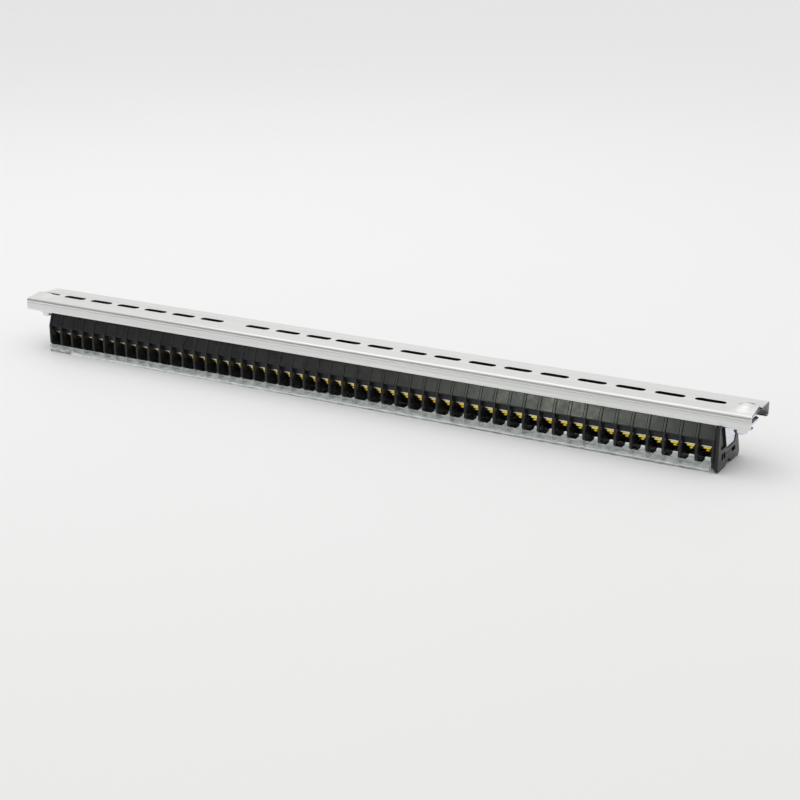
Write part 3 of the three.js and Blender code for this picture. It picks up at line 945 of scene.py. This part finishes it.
def make_bracket(side, origin, direction, material):
    bm = prism(bracket_profile(origin, direction), TAB_FRONT, TAB_BACK, along_y)
    ends = (origin - direction, origin + direction * 2.3)
    low, high = min(ends), max(ends)
    bm = cut(bm, prism(PLATE_FRONT_CUT, low, high), prism(PLATE_REAR_CUT, low, high))
    hole_x = origin + direction * CLAMP_SCREW_OUT
    bm = cut(bm, screw_hole(SCREW_HOLE, *TAB_CUT, hole_x, CLAMP_SCREW_Y))
    corner_x = origin + direction * TAB_REACH
    size = TAB_CORNER
    for y, into in ((TAB_FRONT, 1), (TAB_BACK, -1)):
        outline = [
            (corner_x + direction, y - into), (corner_x - direction * size, y - into),
            (corner_x - direction * size, y), (corner_x, y + into * size),
            (corner_x + direction, y + into * size),
        ]
        bm = cut(bm, prism(outline, *TAB_CUT, along_z))
    bracket = new_object(f"bracket_{side}", bevelled(bm, 0.15, 2, 45.0), material)
    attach(bracket, f"clamp_{side}")
    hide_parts(f"clamp_bracket_{side}")


def make_clamps(material):
    screw = screw_mesh(material, radius=4.2, bottom=23.6, top=26.9, crown=1.5, shank_top=34.6)
    for side, origin, direction in CLAMPS:
        make_bracket(side, origin, direction, material)
        x = origin + direction * CLAMP_SCREW_OUT
        piece = place(f"end_screw_{side}", screw, x, CLAMP_SCREW_Y)
        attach(piece, f"clamp_screw_{side}")
        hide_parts(f"clamp_screw_{side}")
        half_x, half_y = NUT_HALF
        bm = prism(rounded_rectangle(x - half_x, x + half_x, -half_y, half_y, 1.2), *NUT_Z, along_z)
        bm = cut(bm, screw_hole(NUT_HOLE, NUT_Z[0] - 1, NUT_Z[1] + 1, x, CLAMP_SCREW_Y))
        nut = new_object(f"nut_plate_{side}", bevelled(bm, 0.2, 2), material)
        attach(nut, f"clamp_nut_{side}")
        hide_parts(f"clamp_nut_{side}")


# ---- studio ----
ROOM_BACK = 0.82
ROOM_TOP = 0.70
ROOM_FRONT = 0.16
SKY_HORIZON = 0.40
SKY_TOP = 1.17
SKY_FRONT = 1.48
SKY_REAR = 0.62
FLOOR_HALF = 8000
FLOOR_DROP = 0.02
WINDOW_COLOUR = (0.92, 1.0, 0.84)
SEEN_BY_WINDOW = ("housing_", "end_plate_moulding")
CAMERA_PLACE = (0.51137, -0.82639, 0.31545)
CAMERA_DOWN = 0.316
CAMERA_LEFT = 0.524
CAMERA_LENS = 68.67


def make_floor():
    bm = bmesh.new()
    bmesh.ops.create_grid(bm, x_segments=1, y_segments=1, size=FLOOR_HALF)
    bmesh.ops.translate(bm, vec=(0, 0, -FLOOR_DROP), verts=bm.verts)
    floor = new_object("floor", bm, floor_paper())


def area_light(name, location, target, size, power, color=(1, 1, 1)):
    data = bpy.data.lights.new(name, "AREA")
    data.shape = "RECTANGLE"
    data.size, data.size_y = size
    data.energy = power
    data.color = color
    lamp = bpy.data.objects.new(name, data)
    lamp.location = location
    aim = Vector(target) - Vector(location)
    lamp.rotation_euler = aim.to_track_quat("-Z", "Y").to_euler()
    bpy.context.scene.collection.objects.link(lamp)
    return lamp


def make_world():
    """A pale room: mirrors see it bright behind and overhead, and matt faces are lit most from above."""
    world = bpy.data.worlds.new("studio")
    bpy.context.scene.world = world
    world.use_nodes = True
    tree = world.node_tree
    tree.nodes.clear()
    where = tree.nodes.new("ShaderNodeTexCoord")
    parts = tree.nodes.new("ShaderNodeSeparateXYZ")
    tree.links.new(where.outputs["Generated"], parts.inputs[0])

    def ranged(source, low, high, start, end):
        node = tree.nodes.new("ShaderNodeMapRange")
        node.interpolation_type = "SMOOTHSTEP"
        tree.links.new(source, node.inputs["Value"])
        node.inputs["From Min"].default_value = low
        node.inputs["From Max"].default_value = high
        node.inputs["To Min"].default_value = start
        node.inputs["To Max"].default_value = end
        return node.outputs["Result"]

    def combine(operation, a, b):
        node = tree.nodes.new("ShaderNodeMath")
        node.operation = operation
        tree.links.new(a, node.inputs[0])
        tree.links.new(b, node.inputs[1])
        return node.outputs[0]

    behind = ranged(parts.outputs["Y"], -0.25, 0.35, ROOM_FRONT, ROOM_BACK)
    above = ranged(parts.outputs["Z"], 0.35, 0.80, 0.0, ROOM_TOP)
    mirrored_room = combine("MAXIMUM", behind, above)
    soft_sky = combine(
        "MULTIPLY",
        ranged(parts.outputs["Z"], 0.0, 1.0, SKY_HORIZON, SKY_TOP),
        ranged(parts.outputs["Y"], -0.8, 0.8, SKY_FRONT, SKY_REAR),
    )
    path = tree.nodes.new("ShaderNodeLightPath")
    strength = tree.nodes.new("ShaderNodeMix")
    tree.links.new(path.outputs["Is Diffuse Ray"], strength.inputs[0])
    tree.links.new(mirrored_room, strength.inputs[2])
    tree.links.new(soft_sky, strength.inputs[3])
    background = tree.nodes.new("ShaderNodeBackground")
    background.inputs["Color"].default_value = (1.0, 1.0, 1.0, 1)
    tree.links.new(strength.outputs[0], background.inputs["Strength"])
    output = tree.nodes.new("ShaderNodeOutputWorld")
    tree.links.new(background.outputs[0], output.inputs[0])


def make_lights():
    """A soft lamp overhead, and a narrow window that only puts a sheen on the black mouldings."""
    area_light("overhead", location=(-0.5, 0.4, 1.2), target=(-0.4, 0.4, 0), size=(1.2, 1.0), power=2.5)
    window = area_light(
        "window", location=(-0.40, -1.27, 0.665), target=(0.15, 0, 0.02), size=(0.11, 0.5), power=5.0,
        color=WINDOW_COLOUR,
    )
    window.visible_diffuse = False
    receivers = bpy.data.collections.new("sees_window")
    for obj in bpy.context.scene.objects:
        if obj.name.startswith(SEEN_BY_WINDOW):
            receivers.objects.link(obj)
    window.light_linking.receiver_collection = receivers


def make_camera():
    data = bpy.data.cameras.new("camera")
    data.sensor_width = 36.0
    data.lens = CAMERA_LENS
    data.clip_start = 0.01
    data.clip_end = 60.0
    camera = bpy.data.objects.new("camera", data)
    camera.location = CAMERA_PLACE
    camera.rotation_euler = (math.pi / 2 - CAMERA_DOWN, 0.0, CAMERA_LEFT)
    bpy.context.scene.collection.objects.link(camera)
    bpy.context.scene.camera = camera


def make_object():
    metal = aluminium()
    black = black_plastic()
    clear = clear_plastic()
    brass = plated("tinned_brass", (0.80, 0.78, 0.70, 1), (0.68, 0.65, 0.55, 1), 0.22, 0.38)
    yellow = plated("yellow_zinc", (0.84, 0.78, 0.06, 1), (0.80, 0.44, 0.07, 1), 0.07, 0.13)
    blue = plated("blue_zinc", (0.80, 0.84, 0.90, 1), (0.70, 0.75, 0.80, 1), 0.20, 0.36)
    make_rail(metal)
    make_housings(black)
    make_contacts(brass, yellow)
    make_cover(clear)
    make_end_plate(black)
    make_clamps(blue)


make_object()
make_floor()
make_world()
make_lights()
make_camera()
bpy.context.scene.view_settings.view_transform = "Standard"
